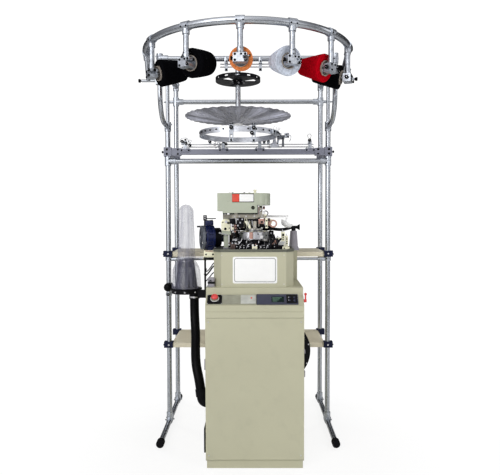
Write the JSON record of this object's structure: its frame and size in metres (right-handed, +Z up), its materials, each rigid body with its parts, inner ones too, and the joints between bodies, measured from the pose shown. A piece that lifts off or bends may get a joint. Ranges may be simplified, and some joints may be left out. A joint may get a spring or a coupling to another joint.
{
  "type": "industrial knitting machine",
  "caption": "Circular sock knitting machine on a sheet-metal cabinet, standing in a tubular creel with yarn cones, shelves, a guide ring and a clear suction receiver.",
  "frame": {"origin": "on the floor under the needle cylinder's axis, at the middle of the cabinet's plinth", "axes": "+Z up, +X to the right seen from the front, +Y from the front to the back"},
  "size_m": [1.3626, 1.4554, 2.47],
  "materials": {
    "zinc_tube": "zinc plated, blue-grey",
    "cast_joint": "cast, satin",
    "black_rubber": "matt",
    "dark_bar": "dark blue-grey, satin",
    "navy_clamp": "navy black, satin",
    "bright_steel": "polished",
    "brushed": "machined",
    "black_paint": "black, satin",
    "black_knob": "black",
    "smoky_plastic": "smoky, clear",
    "clear_plastic": "clear acrylic",
    "dark_clear": "dark blue, clear",
    "white_plastic": "white",
    "cream_paint": "cream, satin",
    "beige_paint": "beige grey, fine texture",
    "shelf_paint": "beige, satin",
    "tray_paint": "dark grey green",
    "column_paint": "grey purple",
    "panel_face": "printed film, plain",
    "red_plastic": "red",
    "display_face": "navy film",
    "navy_motor": "navy, ribbed",
    "grey_casting": "grey casting",
    "hose": "black, smooth",
    "grey_duct": "grey, slightly clear",
    "paper": "plain",
    "yarn_black": "wound yarn",
    "yarn_orange": "wound yarn",
    "yarn_grey": "wound yarn",
    "yarn_red": "wound yarn"
  },
  "bodies": {
    "root": {"floor_tubes": "zinc_tube", "tube_caps": "black_rubber", "tube_joints": "cast_joint", "front_uprights": "zinc_tube", "back_uprights": "zinc_tube", "crossbars": "zinc_tube", "support_arms": "zinc_tube", "creel_ring": "zinc_tube", "ring_posts": "zinc_tube", "cone_hangers": "cast_joint", "cone_tubes": "paper", "yarn_cone_black_left": "yarn_black", "yarn_cone_black_front": "yarn_black", "yarn_cone_orange": "yarn_orange", "yarn_cone_grey": "yarn_grey", "yarn_cone_red": "yarn_red", "yarn_cone_black_right": "yarn_black", "centre_shaft": "zinc_tube", "yarn_wheel": "black_paint", "lint_dish": "smoky_plastic", "dish_hub": "white_plastic", "beam_bars": "dark_bar", "beam_brackets": "cast_joint", "yarn_rods": "bright_steel", "guide_ring": "brushed", "guide_holders": "cast_joint", "clamp_knobs": "black_knob", "shelves": "shelf_paint", "shelf_clamps": "navy_clamp", "cabinet": "beige_paint", "front_cover": "beige_paint", "control_panel": "panel_face", "display_unit": "display_face", "neck_housing": "beige_paint", "neck_tray": "tray_paint", "sinker_cap": "bright_steel", "cam_box": "black_paint", "cam_blocks": "cream_paint", "left_column": "cream_paint", "drive_motor": "navy_motor", "motor_bracket": "cream_paint", "rear_column": "column_paint", "suction_arm": "black_paint", "receiver_tube": "clear_plastic", "receiver_cone": "dark_clear", "receiver_base": "black_paint", "suction_hose": "hose", "hose_elbow": "black_rubber", "air_duct": "grey_duct", "fan_housing": "black_paint"},
    "cylinder": {"needle_cylinder": "bright_steel"},
    "hand_wheel": {"hand_wheel": "grey_casting"},
    "head": {"head_plate": "grey_casting", "head_cover": "beige_paint", "thread_hood": "white_plastic"},
    "dial": {"dial": "brushed"},
    "fingers": {"yarn_fingers": "cream_paint"},
    "stop": {"stop_button": "red_plastic"},
    "lever": {"side_lever": "red_plastic"},
    "fan": {"fan_impeller": "brushed"}
  },
  "joints": [
    {"name": "cylinder_spin", "type": "hinge", "parent": "root", "child": "cylinder", "pos_m": [0, 0, 1.3], "axis": [0, 0, 1], "continuous": true},
    {"name": "hand_wheel_spin", "type": "hinge", "parent": "root", "child": "hand_wheel", "pos_m": [-0.256, 0.062, 1.306], "axis": [-0.9659, -0.2588, 0], "continuous": true},
    {"name": "head_tilt", "type": "hinge", "parent": "root", "child": "head", "pos_m": [-0.172, 0, 1.405], "axis": [0, -1, 0], "range_deg": [0, 30]},
    {"name": "dial_spin", "type": "hinge", "parent": "head", "child": "dial", "pos_m": [0, 0, 1.36], "axis": [0, 0, 1], "continuous": true},
    {"name": "finger_lift", "type": "hinge", "parent": "head", "child": "fingers", "pos_m": [-0.04, -0.08, 1.404], "axis": [-1, 0, 0], "range_deg": [0, 12]},
    {"name": "stop_push", "type": "slide", "parent": "root", "child": "stop", "axis": [0, 0.635, -0.7725], "range_m": [0, 0.005], "stiffness_N_per_m": 400, "springref_m": -0.004},
    {"name": "side_lever_tilt", "type": "hinge", "parent": "root", "child": "lever", "pos_m": [0.288, -0.262, 0.955], "axis": [1, 0, 0], "range_deg": [-20, 20]},
    {"name": "fan_spin", "type": "hinge", "parent": "root", "child": "fan", "pos_m": [0.165, 0.34, 0.521], "axis": [0, 1, 0], "continuous": true}
  ],
  "couplings": [
    {"joint": "hand_wheel_spin", "follows": "cylinder_spin", "ratio": 2},
    {"joint": "dial_spin", "follows": "cylinder_spin", "ratio": 1}
  ]
}
